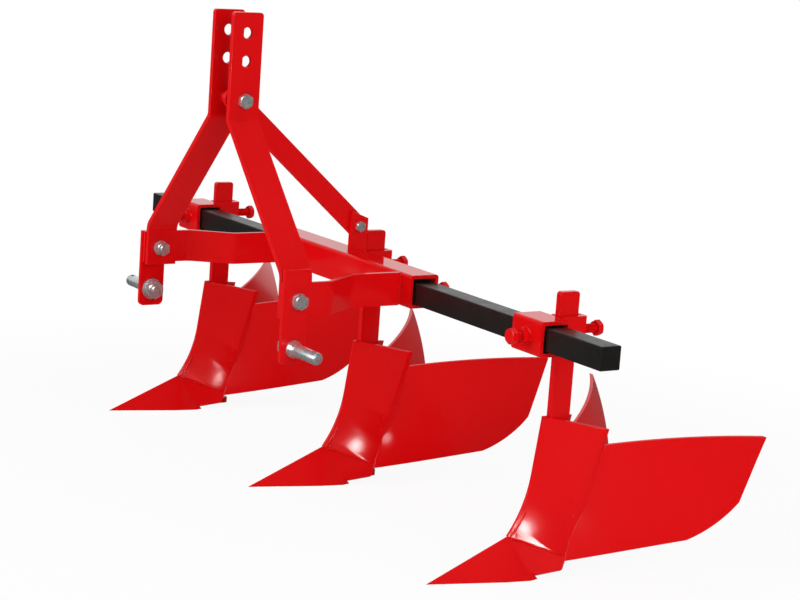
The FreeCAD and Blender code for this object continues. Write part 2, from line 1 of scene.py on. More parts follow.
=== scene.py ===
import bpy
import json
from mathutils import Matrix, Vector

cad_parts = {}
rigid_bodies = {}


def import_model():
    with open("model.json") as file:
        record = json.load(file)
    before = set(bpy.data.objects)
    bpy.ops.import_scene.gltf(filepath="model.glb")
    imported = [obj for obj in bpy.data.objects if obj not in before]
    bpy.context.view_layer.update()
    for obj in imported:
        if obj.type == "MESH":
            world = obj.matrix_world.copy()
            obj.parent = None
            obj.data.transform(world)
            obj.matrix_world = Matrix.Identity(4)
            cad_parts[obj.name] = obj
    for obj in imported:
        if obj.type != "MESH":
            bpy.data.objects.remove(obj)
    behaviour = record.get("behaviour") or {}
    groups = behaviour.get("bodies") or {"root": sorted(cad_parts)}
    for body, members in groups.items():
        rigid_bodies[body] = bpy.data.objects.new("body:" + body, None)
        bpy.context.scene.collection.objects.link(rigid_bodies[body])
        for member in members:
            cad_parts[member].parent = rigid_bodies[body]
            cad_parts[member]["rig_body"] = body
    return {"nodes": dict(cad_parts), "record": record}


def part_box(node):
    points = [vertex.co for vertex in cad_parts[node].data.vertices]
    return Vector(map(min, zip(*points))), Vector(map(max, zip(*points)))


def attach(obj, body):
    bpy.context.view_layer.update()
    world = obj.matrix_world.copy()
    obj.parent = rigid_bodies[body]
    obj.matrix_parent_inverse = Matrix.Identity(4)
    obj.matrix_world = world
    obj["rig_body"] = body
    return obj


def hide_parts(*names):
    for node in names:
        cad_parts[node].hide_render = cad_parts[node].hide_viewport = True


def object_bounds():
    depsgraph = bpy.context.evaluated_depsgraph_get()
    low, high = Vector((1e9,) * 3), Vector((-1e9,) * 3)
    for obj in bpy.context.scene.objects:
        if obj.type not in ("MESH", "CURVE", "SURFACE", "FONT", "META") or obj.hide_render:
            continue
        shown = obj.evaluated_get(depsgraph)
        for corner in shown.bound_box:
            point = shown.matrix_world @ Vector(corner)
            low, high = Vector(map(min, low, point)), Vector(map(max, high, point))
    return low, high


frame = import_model()
lo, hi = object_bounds()

import json
import math
import random

import bpy
from mathutils import Matrix, Vector
from mathutils.bvhtree import BVHTree

# Three-row ridger: red enamelled plates on a black toolbar, with zinc-plated hitch pins and bolts.
# All places are in metres and come from the CAD nodes; the sizes in the dictionaries are in millimetres.

nodes = frame["nodes"]
rows = ("left", "centre", "right")
clamps = ("left", "right")


def mm(value):
    return value / 1000


def pick(*pieces):  # selects these alone, the last one active
    if bpy.context.object and bpy.context.object.mode != "OBJECT":
        bpy.ops.object.mode_set(mode="OBJECT")
    bpy.ops.object.select_all(action="DESELECT")
    for piece in pieces:
        piece.select_set(True)
        bpy.context.view_layer.objects.active = piece


def editAll(piece):
    pick(piece)
    bpy.ops.object.mode_set(mode="EDIT")
    bpy.ops.mesh.select_all(action="SELECT")


def applyModifier(piece, kind, **settings):
    modifier = piece.modifiers.new(kind.title(), kind)
    for name, value in settings.items():
        setattr(modifier, name, value)
    pick(piece)
    bpy.ops.object.modifier_apply(modifier=modifier.name)


def smooth(piece, degrees=35):
    pick(piece)
    bpy.ops.object.shade_smooth_by_angle(angle=math.radians(degrees))


def joined(name, pieces):
    pick(*pieces)
    if len(pieces) > 1:
        bpy.ops.object.join()
    piece = bpy.context.object
    piece.name = name
    piece.data.name = name
    return piece


def linear(hexText):
    values = [int(hexText[i:i + 2], 16) / 255 for i in (1, 3, 5)]
    return [v / 12.92 if v <= 0.04045 else ((v + 0.055) / 1.055) ** 2.4 for v in values] + [1]


def addNode(tree, kind, sockets=None, **settings):
    node = tree.nodes.new(kind)
    for name, value in settings.items():
        setattr(node, name, value)
    for name, value in (sockets or {}).items():
        if isinstance(value, bpy.types.NodeSocket):
            tree.links.new(value, node.inputs[name])
        else:
            node.inputs[name].default_value = value
    return node


def newMaterial(name):
    material = bpy.data.materials.new(name)
    material.use_nodes = True
    tree = material.node_tree
    tree.nodes.clear()
    place = addNode(tree, "ShaderNodeTexCoord")
    return material, tree, place.outputs["Object"]


def perMetre(sizeInMm):  # a noise texture's scale for lumps of that size
    return 1000 / sizeInMm


def bandScale(spacingInMm):  # a wave texture's scale for bands that far apart: it has 20 radians to a metre
    return perMetre(spacingInMm) * math.tau / 20


# Gloss enamel sprayed on steel plate and baked: saturated, with faint orange peel and a soft sheen.
enamel = {
    "name": "redGlossEnamel",
    "colours": ("#D6090D", "#DE0B0F"),
    "patches": (260, 3, 0.5),      # slow change of film thickness: size, detail and roughness
    "gloss": (0.09, 0.14),
    "grain": (3.2, 2, 0.45),       # orange peel: size, detail and roughness
    "grainDepth": (0.02, 1),       # strength, and height in mm
    "index": 1.33,                 # a thin resin-rich film: weaker mirror than glass
    "metal": 0,
}
# Satin black machinery paint on drawn bar: near black, broad soft sheen, scuffed where sleeves slide.
barPaint = {
    "name": "satinBlackPaint",
    "colours": ("#100F0D", "#1B1917"),
    "patches": (35, 6, 0.65),
    "gloss": (0.3, 0.42),
    "grain": (1.6, 3, 0.5),
    "grainDepth": (0.06, 1),
    "index": 1.38,
    "metal": 0,
}
# Bright zinc on turned and rolled steel, dulled by a thin whitish film that scatters part of the
# light: cool grey metal, slightly clouded, with fine turning marks.
zinc = {
    "name": "brightZincPlate",
    "colours": ("#B6BBBC", "#EEF2F3"),
    "patches": (7, 4, 0.6),
    "gloss": (0.24, 0.36),
    "turning": 2.37,               # spacing of the turning marks, coarser than real ones so that they show
    "grainDepth": (0.03, 0.4),
    "metal": 0.85,
}
patchRange = (0.3, 0.7)            # the part of a noise texture's range that its values fill


def noise(tree, place, size, detail, roughness):
    return addNode(tree, "ShaderNodeTexNoise", {"Vector": place, "Scale": perMetre(size), "Detail": detail,
                                                "Roughness": roughness})


def coating(look):
    material, tree, place = newMaterial(look["name"])
    patches = noise(tree, place, *look["patches"])
    colour = addNode(tree, "ShaderNodeMix", {"Factor": patches.outputs["Fac"]}, data_type="RGBA")
    colour.inputs[6].default_value, colour.inputs[7].default_value = map(linear, look["colours"])
    gloss = addNode(tree, "ShaderNodeMapRange",
                    {"Value": patches.outputs["Fac"], "From Min": patchRange[0], "From Max": patchRange[1],
                     "To Min": look["gloss"][0], "To Max": look["gloss"][1]})
    if "turning" in look:
        grain = addNode(tree, "ShaderNodeTexWave",
                        {"Vector": place, "Scale": bandScale(look["turning"]), "Distortion": 1.5, "Detail": 2},
                        bands_direction="X")
    else:
        grain = noise(tree, place, *look["grain"])
    strength, height = look["grainDepth"]
    bump = addNode(tree, "ShaderNodeBump",
                   {"Height": grain.outputs["Fac"], "Strength": strength, "Distance": mm(height)})
    shader = addNode(tree, "ShaderNodeBsdfPrincipled",
                     {"Base Color": colour.outputs[2], "Metallic": look["metal"],
                      "Roughness": gloss.outputs["Result"], "Normal": bump.outputs["Normal"]})
    if "index" in look:
        shader.inputs["IOR"].default_value = look["index"]
    addNode(tree, "ShaderNodeOutputMaterial", {"Surface": shader.outputs["BSDF"]})
    return material


finishes = {"red_paint": coating(enamel), "black_paint": coating(barPaint), "zinc_steel": coating(zinc)}
slots = {part["node"]: part["material_slot"] for part in frame["record"]["subparts"]}
print("materials ready:", ", ".join(finishes))


def dress(piece, *standsFor):  # finish, picked by the node's material slot, and body, from the CAD node it stands for, which is hidden
    slotName = slots[standsFor[0]]
    piece.data.materials.clear()
    piece.data.materials.append(finishes[slotName])
    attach(piece, nodes[standsFor[0]]["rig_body"])
    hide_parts(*standsFor)
    return piece


# Plates, bars and tubes: the CAD shapes with their edges broken.
edgeBreak = {
    "width": 0.9,
    "thin": ("socket", "sleeve"),     # pieces whose edges are smaller
    "thinWidth": 0.6,
    "segments": 2,
    "sharpFrom": 32,                  # degrees between faces
    "mergeWithin": 0.004,
    "flatWithin": 0.4,                # degrees
}
fasteners = ("shank_screw_left", "shank_screw_centre", "shank_screw_right", "clamp_screw_left",
             "clamp_screw_right", "sleeve_screws", "mast_foot_bolts", "lower_pins", "lower_pin_nuts",
             "brace_bolts")


def brokenEdges(node):
    piece = bpy.data.objects.new(node + "_finished", nodes[node].data.copy())
    bpy.context.scene.collection.objects.link(piece)
    editAll(piece)
    bpy.ops.mesh.customdata_custom_splitnormals_clear()
    bpy.ops.mesh.remove_doubles(threshold=mm(edgeBreak["mergeWithin"]))
    bpy.ops.mesh.dissolve_limited(angle_limit=math.radians(edgeBreak["flatWithin"]))
    bpy.ops.object.mode_set(mode="OBJECT")
    thin = any(word in node for word in edgeBreak["thin"])
    applyModifier(piece, "BEVEL", width=mm(edgeBreak["thinWidth" if thin else "width"]),
                  segments=edgeBreak["segments"], limit_method="ANGLE",
                  angle_limit=math.radians(edgeBreak["sharpFrom"]), use_clamp_overlap=False)
    smooth(piece)
    applyModifier(piece, "WEIGHTED_NORMAL", keep_sharp=True)
    return dress(piece, node)


for node in sorted(nodes):
    if node not in fasteners:
        brokenEdges(node)
print("plates, bars and tubes:", len(nodes) - len(fasteners))


upwards = Vector((0, 0, 1))


def stand(piece, start, axis):  # turns a piece made along Z so that it points along axis from start
    turn = Matrix((upwards.cross(axis), upwards, axis)).transposed().to_4x4()
    piece.matrix_world = Matrix.Translation(start) @ turn
    pick(piece)
    bpy.ops.object.transform_apply(location=True, rotation=True, scale=True)
    return piece


def lathe(outline, steps=28):  # outline: (along, radius) in mm, drawn point by point, its ends on the axis
    bpy.ops.object.select_all(action="DESELECT")
    bpy.ops.mesh.primitive_plane_add(size=mm(1), location=(0, 0, 0))
    piece = bpy.context.object
    editAll(piece)
    bpy.ops.mesh.merge(type="CENTER")
    here = Vector((0, 0, 0))
    for k, (along, radius) in enumerate(outline):
        there = Vector((mm(radius), 0, mm(along)))
        if k:
            bpy.ops.mesh.extrude_region_move(TRANSFORM_OT_translate={"value": there - here})
        else:
            bpy.ops.transform.translate(value=there)
        here = there
    bpy.ops.mesh.select_all(action="SELECT")
    bpy.ops.mesh.spin(steps=steps, angle=2 * math.pi, center=(0, 0, 0), axis=(0, 0, 1))
    bpy.ops.mesh.select_all(action="SELECT")
    bpy.ops.mesh.remove_doubles(threshold=mm(0.002))
    bpy.ops.mesh.normals_make_consistent(inside=False)
    bpy.ops.object.mode_set(mode="OBJECT")
    smooth(piece, degrees=32)
    return piece


def turned(outline, start, axis, steps=28):
    return stand(lathe(outline, steps), start, axis)


hexagon = {
    "faceShare": 0.475,     # radius of the round flat face, as a part of the width across flats
    "coneAngle": 28,        # degrees, of the cone that cuts the corners back
    "spare": 0.5,           # how far that cone starts outside the corners
}


def hexBlock(flats, height, start, axis, bothEnds=False):  # a head or nut, its corners cut back
    corner = flats / math.sqrt(3) + hexagon["spare"]
    face = flats * hexagon["faceShare"]
    drop = (corner - face) * math.tan(math.radians(hexagon["coneAngle"]))
    foot = [(0, face), (drop, corner)] if bothEnds else [(0, corner)]
    cutter = lathe([(0, 0)] + foot + [(height - drop, corner), (height, face), (height, 0)], 48)
    bpy.ops.object.select_all(action="DESELECT")
    bpy.ops.mesh.primitive_cylinder_add(vertices=6, radius=mm(flats / math.sqrt(3)), depth=mm(height),
                                        location=(0, 0, mm(height / 2)))
    block = bpy.context.object
    pick(block)
    bpy.ops.object.transform_apply(location=True, rotation=True, scale=True)
    applyModifier(block, "BOOLEAN", operation="INTERSECT", object=cutter, solver="EXACT")
    bpy.data.objects.remove(cutter)
    smooth(block, degrees=25)
    return stand(block, start, axis)


threadForm = {"depth": 0.61, "rise": 0.42, "crest": 0.58}    # as parts of the pitch


def thread(start, end, radius, pitch):  # outline of a threaded length, ridge by ridge
    root = radius - threadForm["depth"] * pitch
    points = []
    for k in range(round((end - start) / pitch)):
        foot = start + k * pitch
        points += [(foot, root), (foot + threadForm["rise"] * pitch, radius),
                   (foot + threadForm["crest"] * pitch, radius)]
    return points + [(end, root)]


washerLip = {"size": 0.5, "share": 0.2}    # its rounded rim, at most this part of its height


def washer(outer, inner, height, start, axis):
    lip = min(washerLip["size"], height * washerLip["share"])
    outline = [(0, inner), (0, outer - lip), (lip, outer), (height - lip, outer), (height, outer - lip),
               (height, inner), (0, inner)]
    return turned(outline, start, axis, 32)


setScrew = {"radius": 8, "pitch": 2, "flats": 24, "headHeight": 10, "faceRadius": 11.4, "faceHeight": 0.7,
            "pointRadius": 5.5, "pointLength": 1.5, "neckRadius": 7.4, "neckLength": 1}


def makeSetScrew(tip, axis, length):  # length is from the tip to the end of the head
    look = setScrew
    shank = length - look["headHeight"]
    face = shank - look["faceHeight"]
    outline = [(0, 0), (0, look["pointRadius"])]
    outline += thread(look["pointLength"], shank - look["pointLength"], look["radius"], look["pitch"])
    outline += [(shank - look["neckLength"], look["neckRadius"]), (face, look["neckRadius"]),
                (face, look["faceRadius"]), (shank, look["faceRadius"]), (shank, 0)]
    return [turned(outline, tip, axis),
            hexBlock(look["flats"], look["headHeight"], tip + axis * mm(shank), axis)]


forwards = Vector((0, -1, 0))
backwards = Vector((0, 1, 0))
leftwards = Vector((1, 0, 0))
rightwards = Vector((-1, 0, 0))


def middle(low, high):
    return (low + high) / 2


for row in rows:
    low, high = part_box("shank_screw_" + row)
    centre = middle(low, high)
    screw = makeSetScrew(Vector((centre.x, low.y, centre.z)), backwards, (high.y - low.y) * 1000)
    dress(joined("shank_screw_" + row + "_threaded", screw), "shank_screw_" + row)
for row in clamps:
    low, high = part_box("clamp_screw_" + row)
    centre = middle(low, high)
    screw = makeSetScrew(Vector((centre.x, high.y, centre.z)), forwards, (high.y - low.y) * 1000)
    dress(joined("clamp_screw_" + row + "_threaded", screw), "clamp_screw_" + row)
low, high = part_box("sleeve_screws")
sleeveScrewX = high.x - mm(setScrew["flats"] / 2)
screws = []
for x in (sleeveScrewX, -sleeveScrewX):
    screws += makeSetScrew(Vector((x, low.y, middle(low, high).z)), backwards, (high.y - low.y) * 1000)
dress(joined("sleeve_screws_threaded", screws), "sleeve_screws")

bolt = {"radius": 8, "pitch": 2, "flats": 24, "headHeight": 10, "nutHeight": 13, "washerRadius": 14,
        "washerHeight": 3, "washerBore": 8.4, "beyondNut": 4, "threadLength": 26}
boltEnd = {"length": 1.2, "faceBelow": 1.6, "rootBelow": 0.6, "threadFrom": 1.4, "runOut": 0.5, "intoHead": 1}
stock = {"arm": 8, "mast": 10, "lug": 10, "brace": 10}    # thickness of the plates that are bolted up


def makeBolt(head, axis, length, look, washers):  # head and length: its outer end, and the whole bolt
    inward = -axis
    shaftEnd = head + inward * mm(length)
    headFoot = head + inward * mm(look["headHeight"])
    nutFoot = shaftEnd + axis * mm(look["beyondNut"] + look["nutHeight"])
    top = length - look["headHeight"] + boltEnd["intoHead"]
    outline = [(0, 0), (0, look["radius"] - boltEnd["faceBelow"]),
               (boltEnd["length"], look["radius"] - boltEnd["rootBelow"])]
    outline += thread(boltEnd["threadFrom"], look["threadLength"], look["radius"], look["pitch"])
    outline += [(look["threadLength"] + boltEnd["runOut"], look["radius"]), (top, look["radius"]), (top, 0)]
    pieces = [turned(outline, shaftEnd, axis),
              hexBlock(look["flats"], look["headHeight"], headFoot, axis),
              hexBlock(look["flats"], look["nutHeight"], nutFoot, inward, True)]
    if washers:
        for start in (headFoot + inward * mm(look["washerHeight"]), nutFoot):
            pieces.append(washer(look["washerRadius"], look["washerBore"], look["washerHeight"], start, axis))
    return pieces


low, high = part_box("mast_foot_bolts")
footBolt = middle(low, high)
outsideBar = (high.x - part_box("mast_bar_left")[1].x) * 1000    # head, washer, hitch plate and arm
footBoltLength = outsideBar + stock["mast"] + bolt["washerHeight"] + bolt["nutHeight"] + bolt["beyondNut"]
pieces = []
for side in (leftwards, rightwards):
    pieces += makeBolt(Vector((side.x * high.x, footBolt.y, footBolt.z)), side, footBoltLength, bolt, True)
dress(joined("mast_foot_bolts_turned", pieces), "mast_foot_bolts")

topBolt = dict(bolt, threadLength=28)
lugBolt = {"radius": 6, "pitch": 1.75, "flats": 18, "headHeight": 8, "nutHeight": 10, "beyondNut": 4,
           "threadLength": 20, "inset": 17}    # inset: from the lug's front edge
lugLow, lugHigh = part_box("brace_lug")
boltsLow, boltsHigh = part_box("brace_bolts")
topMiddle = middle(*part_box("mast_spacers"))
topBoltLength = (boltsHigh.x - boltsLow.x) * 1000
pieces = makeBolt(Vector((boltsHigh.x, topMiddle.y, topMiddle.z)), leftwards, topBoltLength, topBolt, False)
lugBoltHead = Vector((lugHigh.x + mm(lugBolt["headHeight"]), lugLow.y + mm(lugBolt["inset"]),
                      boltsLow.z + mm(lugBolt["flats"] / math.sqrt(3))))
lugBoltLength = (lugBolt["headHeight"] + stock["lug"] + stock["brace"] + lugBolt["nutHeight"]
                 + lugBolt["beyondNut"])
pieces += makeBolt(lugBoltHead, leftwards, lugBoltLength, lugBolt, False)
dress(joined("brace_bolts_turned", pieces), "brace_bolts")

hitchPin = {
    "stemRadius": 10, "stemLength": 26, "pitch": 2,
    "stemEnd": ((0, 0), (0, 8.5), (1, 9.4)),    # along and radius, from the stem's inner end
    "threadFrom": 1.2, "threadTo": 24, "runOut": 0.5,
    "collarRadius": 15.5, "collarHeight": 5, "collarEdge": 0.8, "taper": 12, "taperLip": 0.1,
    "radius": 11,
    "nose": ((-3, 11), (-1, 10), (-0.3, 8), (0, 7.2), (0, 0)),    # along and radius, from the pin's outer end
    "holeRadius": 5.5, "holeInset": 12, "drillLength": 60,
}
pinLow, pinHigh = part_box("lower_pins")
pinCentre = middle(pinLow, pinHigh)
armOuter, plateOuter = (corner.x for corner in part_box("hitch_plate_left"))


def makeHitchPin(side):
    look = hitchPin
    stemStart = armOuter - mm(look["stemLength"])
    foot = (plateOuter - stemStart) * 1000
    end = (pinHigh.x - stemStart) * 1000
    rim = foot + look["collarHeight"]
    taperEnd = rim + look["taper"]
    outline = list(look["stemEnd"])
    outline += thread(look["threadFrom"], look["threadTo"], look["stemRadius"], look["pitch"])
    outline += [(look["threadTo"] + look["runOut"], look["stemRadius"]), (foot, look["stemRadius"]),
                (foot, look["collarRadius"] - look["collarEdge"]),
                (foot + look["collarEdge"], look["collarRadius"]),
                (rim - look["collarEdge"], look["collarRadius"]),
                (rim, look["collarRadius"] - look["collarEdge"] / 2),
                (taperEnd, look["radius"] + look["taperLip"]), (taperEnd + 1, look["radius"])]
    outline += [(end + along, radius) for along, radius in look["nose"]]
    pin = turned(outline, Vector((side.x * stemStart, pinCentre.y, pinCentre.z)), side, 40)
    bpy.ops.object.select_all(action="DESELECT")
    bpy.ops.mesh.primitive_cylinder_add(
        vertices=24, radius=mm(look["holeRadius"]), depth=mm(look["drillLength"]),
        location=(side.x * (pinHigh.x - mm(look["holeInset"])), pinCentre.y, pinCentre.z))
    drill = bpy.context.object
    applyModifier(pin, "BOOLEAN", operation="DIFFERENCE", object=drill, solver="EXACT")
    bpy.data.objects.remove(drill)
    smooth(pin, degrees=32)
    return pin


dress(joined("lower_pins_turned", [makeHitchPin(leftwards), makeHitchPin(rightwards)]), "lower_pins")

pinNut = {"flats": 30, "height": 16, "washerRadius": 20, "washerHeight": 2.4, "springRadius": 15.5,
          "springHeight": 1.6, "bore": 10.3}
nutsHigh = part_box("lower_pin_nuts")[1]
pieces = []
for side in (leftwards, rightwards):
    seat = Vector((side.x * nutsHigh.x, pinCentre.y, pinCentre.z))
    springSeat = seat - side * mm(pinNut["washerHeight"])
    nutSeat = springSeat - side * mm(pinNut["springHeight"])
    pieces.append(washer(pinNut["washerRadius"], pinNut["bore"], pinNut["washerHeight"], seat, -side))
    pieces.append(washer(pinNut["springRadius"], pinNut["bore"], pinNut["springHeight"], springSeat, -side))
    pieces.append(hexBlock(pinNut["flats"], pinNut["height"], nutSeat, -side, True))
dress(joined("lower_pin_nuts_turned", pieces), "lower_pin_nuts")
print("fasteners:", len(fasteners))


weld = {
    "radius": 2.4,         # of the usual bead; mm as everywhere in these dictionaries
    "ripple": 1.5,         # from crest to hollow
    "hollow": 0.84,        # radius in a hollow, as a part of a crest's
    "ends": (0.45, 0.85),  # and over the first and last two rings
    "uneven": 0.1,
    "seed": 7,
    "inset": 2,            # an upright bead stops this far from both ends
}
chance = random.Random(weld["seed"])
surfaces = {}
settleReach = 60    # how far before and behind a point its surface is looked for


def surface(node):  # of a CAD node, for casting rays on it
    if node not in surfaces:
        mesh = nodes[node].data
        surfaces[node] = BVHTree.FromPolygons([v.co for v in mesh.vertices],
                                              [p.vertices for p in mesh.polygons])
    return surfaces[node]


def settle(point, outwards, *onNodes):  # the place where these nodes are met on the way in, or None
    start = point + outwards * mm(settleReach)
    found = []
    for node in onNodes:
        place, _, _, distance = surface(node).ray_cast(start, -outwards, mm(2 * settleReach))
        if place:
            found.append((distance, place))
    return min(found, key=lambda hit: hit[0])[1] if found else None


def resampled(points, step):
    lengths = [(b - a).length for a, b in zip(points, points[1:])]
    count = max(2, round(sum(lengths) / step))
    places = []
    for k in range(count + 1):
        rest = sum(lengths) * k / count
        leg = 0
        while leg < len(lengths) - 1 and rest > lengths[leg]:
            rest -= lengths[leg]
            leg += 1
        places.append(points[leg].lerp(points[leg + 1], min(1, rest / lengths[leg])))
    return places


def bead(points, radius=None):  # a rippled tube along the points, half of it sunk in the plates
    places = resampled(points, mm(weld["ripple"]))
    curve = bpy.data.curves.new("bead", "CURVE")
    curve.dimensions = "3D"
    curve.bevel_depth = mm(radius or weld["radius"])
    curve.bevel_resolution = 2
    curve.use_fill_caps = True
    line = curve.splines.new("POLY")
    line.points.add(len(places) - 1)
    closed = (points[0] - points[-1]).length < mm(0.1)
    for k, (point, place) in enumerate(zip(line.points, places)):
        point.co = (*place, 1)
        size = 1 if k % 2 else weld["hollow"]
        nearEnd = min(k, len(places) - 1 - k)
        if nearEnd < len(weld["ends"]) and not closed:
            size *= weld["ends"][nearEnd]
        point.radius = size * (1 + chance.uniform(-weld["uneven"], weld["uneven"]))
    piece = bpy.data.objects.new("bead", curve)
    bpy.context.scene.collection.objects.link(piece)
    pick(piece)
    bpy.ops.object.convert(target="MESH")
    smooth(piece, 60)
    return bpy.context.object


def ring(centre, radius, steps=24):  # a circle that faces forwards or backwards
    return [centre + Vector((math.cos(math.tau * k / steps), 0, math.sin(math.tau * k / steps))) * radius
            for k in range(steps + 1)]


def upright(x, y, low, high, inset=weld["inset"]):
    return [Vector((x, y, low + mm(inset))), Vector((x, y, high - mm(inset)))]


def finishWelds(name, pieces, ridesWith):
    piece = joined(name, pieces)
    piece.data.materials.clear()
    piece.data.materials.append(finishes["red_paint"])
    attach(piece, nodes[ridesWith]["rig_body"])


# Paths on a ridging body: sideways from the shank's middle, back from the toolbar's axis, up from the floor.
bodyWeld = {
    "facing": (0.62, -0.52, 0.59),    # outwards, back and up: the way a left-hand path is met from
    "crease": ((3, -30, 62), (12, -13, 58), (24, 9, 50), (36.7, 31.8, 42.4), (47, 52.5, 35.6)),
    "creaseRadius": 2.2,
    "creaseSunk": 0.6,
    "tacks": ((44, 62, 78), (43, 66, 100), (43, 70, 122)),    # on the breast's side edges
    "tackRun": (0, 1.5, 4),
    "tackRadius": 1.8,
    "ridge": ((6.2, -33, 66), (7.4, -23, 80), (7.2, -14, 93), (6.2, -6, 107)),
    "ridgeRadius": 2.0,
    "ridgeLoop": ((7, -26, 77), (10, -22, 73), (10.5, -24, 67), (8.5, -28, 62), (6, -32, 62)),
    "ridgeLoopRadius": 1.3,
    "notch": ((0.5, 17.2, 268), (3.5, 18, 267.2), (8, 25, 265.5)),    # by the ridge's top
    "notchRadius": 1.6,
    "plug": (19.2, -44.3, 34.8),      # a plug weld on the share
    "plugRadius": 2.6,
    "plugSunk": 0.8,
    "plugRaised": 0.7,
    "frogFrom": 125,                  # height at which the bead between frog and shank begins
    "stayOffset": (4.5, 0.5),         # bead between stay and shank: sideways and back
    "wingReach": 200,                 # from the shank's middle to beyond the stay's end
    "wingHeights": (0.08, 0.29, 0.5, 0.71, 0.92),    # of the bead between stay and wing, up the stay
}


def weldBody(row):
    look = bodyWeld
    low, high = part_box(row + "_shank")
    frogLow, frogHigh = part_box(row + "_frog")
    stayLow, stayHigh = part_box(row + "_wing_stay")
    x = (low.x + high.x) / 2
    halfFrog = (frogHigh.x - frogLow.x) / 2

    def laid(path, side, raised=0.0):  # the path's places on breast and share, in mm above the surface
        outwards = Vector((side * look["facing"][0], *look["facing"][1:])).normalized()
        spots = [settle(Vector((x + side * mm(a), mm(b), mm(c))), outwards, row + "_breast", row + "_share")
                 for a, b, c in path]
        return [spot + outwards * mm(raised) for spot in spots if spot]

    pieces = []
    for side, wing in ((1, "_wing_left"), (-1, "_wing_right")):
        pieces.append(bead(laid(look["crease"], side, -look["creaseSunk"]), look["creaseRadius"]))
        for spot in laid(look["tacks"], side):
            pieces.append(bead([spot, spot + Vector(look["tackRun"]) / 1000], look["tackRadius"]))
        pieces.append(bead(upright(x + side * halfFrog, low.y, mm(look["frogFrom"]), frogHigh.z, 1)))
        across, back = look["stayOffset"]
        pieces.append(bead(upright(x + side * mm(across), high.y + mm(back), stayLow.z, stayHigh.z, 1)))
        ends = []
        for share in look["wingHeights"]:
            start = Vector((x, stayHigh.y, stayLow.z + (stayHigh.z - stayLow.z) * share))
            hit = surface(row + wing).ray_cast(start, Vector((side, 0, 0)), mm(look["wingReach"]))[0]
            if hit:
                ends.append(hit)
        if len(ends) > 1:
            pieces.append(bead(ends))
    for path in ("ridge", "ridgeLoop", "notch"):
        spots = laid(look[path], 1)
        if len(spots) > 1:
            pieces.append(bead(spots, look[path + "Radius"]))
    plugEnds = laid([look["plug"]], 1, -look["plugSunk"]) + laid([look["plug"]], 1, look["plugRaised"])
    pieces.append(bead(plugEnds, look["plugRadius"]))
    finishWelds(row + "_body_welds", pieces, row + "_shank")
    return len(pieces)


def socketWelds(socket):  # both upright corners between a socket and the tube's rear wall
    low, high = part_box(socket)
    return [bead(upright(x, low.y, low.z, high.z)) for x in (low.x, high.x)]


count = sum(weldBody(row) for row in rows)
nutRing = mm(setScrew["flats"] / 2 + 1.2)    # radius of the bead round a welded nut
for row in clamps:
    front = middle(*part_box("clamp_screw_" + row))
    front.y = -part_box("clamp_socket_" + row)[0].y
    pieces = [bead(ring(front, nutRing))] + socketWelds("clamp_socket_" + row)
    finishWelds("clamp_welds_" + row, pieces, "clamp_sleeve_" + row)
    count += len(pieces)

frameWeld = {
    "armRadius": 2.8,        # between arm and sleeve
    "plateRadius": 2,        # along the hitch plate's foot
    "plateInset": 3,
    "lugInset": 1,
    "armProbe": (180, 5),    # a place beside the arm: from the machine's middle, and before its rear end
}
armLow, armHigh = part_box("hitch_arm_left")
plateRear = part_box("hitch_plate_left")[1].y
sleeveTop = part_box("centre_sleeve")[1].z
pieces = socketWelds("centre_socket")
for x in (sleeveScrewX, -sleeveScrewX):
    nutFoot = Vector((x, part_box("centre_socket")[0].y, middle(*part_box("sleeve_screws")).z))
    pieces.append(bead(ring(nutFoot, nutRing)))
probeX, probeInset = (mm(value) for value in frameWeld["armProbe"])
probe = Vector((probeX, armHigh.y - probeInset, middle(armLow, armHigh).z))
armInner = surface("hitch_arm_left").ray_cast(probe, leftwards)[0].x
for side in (1, -1):
    for x in (armInner, armInner + mm(stock["arm"])):
        pieces.append(bead(upright(side * x, armHigh.y, armLow.z, armHigh.z), frameWeld["armRadius"]))
    pieces.append(bead(upright(side * armOuter, plateRear, armLow.z, armHigh.z)))
    inset = mm(frameWeld["plateInset"])
    pieces.append(bead([Vector((side * armOuter, armLow.y + inset, armLow.z)),
                        Vector((side * armOuter, plateRear - inset, armLow.z))], frameWeld["plateRadius"]))
inset = mm(frameWeld["lugInset"])
for x in (lugLow.x, lugHigh.x):
    pieces.append(bead([Vector((x, lugLow.y + inset, sleeveTop)), Vector((x, lugHigh.y - inset, sleeveTop))]))
finishWelds("frame_welds", pieces, "centre_sleeve")
count += len(pieces)
print("weld beads:", count)


studio = {
    "floorSize": 60,
    "floorDrop": 0.5,        # below the object's lowest point, in mm
    "worldLight": 0.34,      # even light from all round
    "frontMirror": 0.12,     # what gloss sees towards the viewer
    "backMirror": 1.0,       # and beyond the object
    "mirrorFrom": 0.2,       # how squarely beyond, as a cosine, before the white begins
    "mirrorTo": 0.92,
    "shadowShare": 0.08,     # how much of the floor's own shading is let through to the viewer
    "shadowFrom": 0.9,       # metres from the middle at which that begins to fade
    "shadowTo": 1.6,
}
viewDirection = (-0.832, 0.555, 0)   # level, from the viewer's side to the far side
lamps = {    # place, target, width and height, power, and whether matt and gloss surfaces get it
    "keyLamp": ((3.2, -0.35, 1.5), (0.3, 0, 0.35), (1.9, 1.9), 45, True, False),
    "frontLamp": ((-0.3, -3.2, 1.5), (0.1, 0, 0.35), (2.2, 2.2), 60, True, True),
    "topLamp": ((0.2, 0.4, 3.2), (0, 0, 0.3), (2.4, 2.4), 20, True, False),
    "sheenLamp": ((2.9, -1.6, 1.9), (0.2, 0, 0.35), (1.6, 1.6), 45, False, True),
    "glossCard": ((3.17, -0.31, 0.46), (0.62, 0, 0.07), (0.2, 0.2), 8, False, True),
}


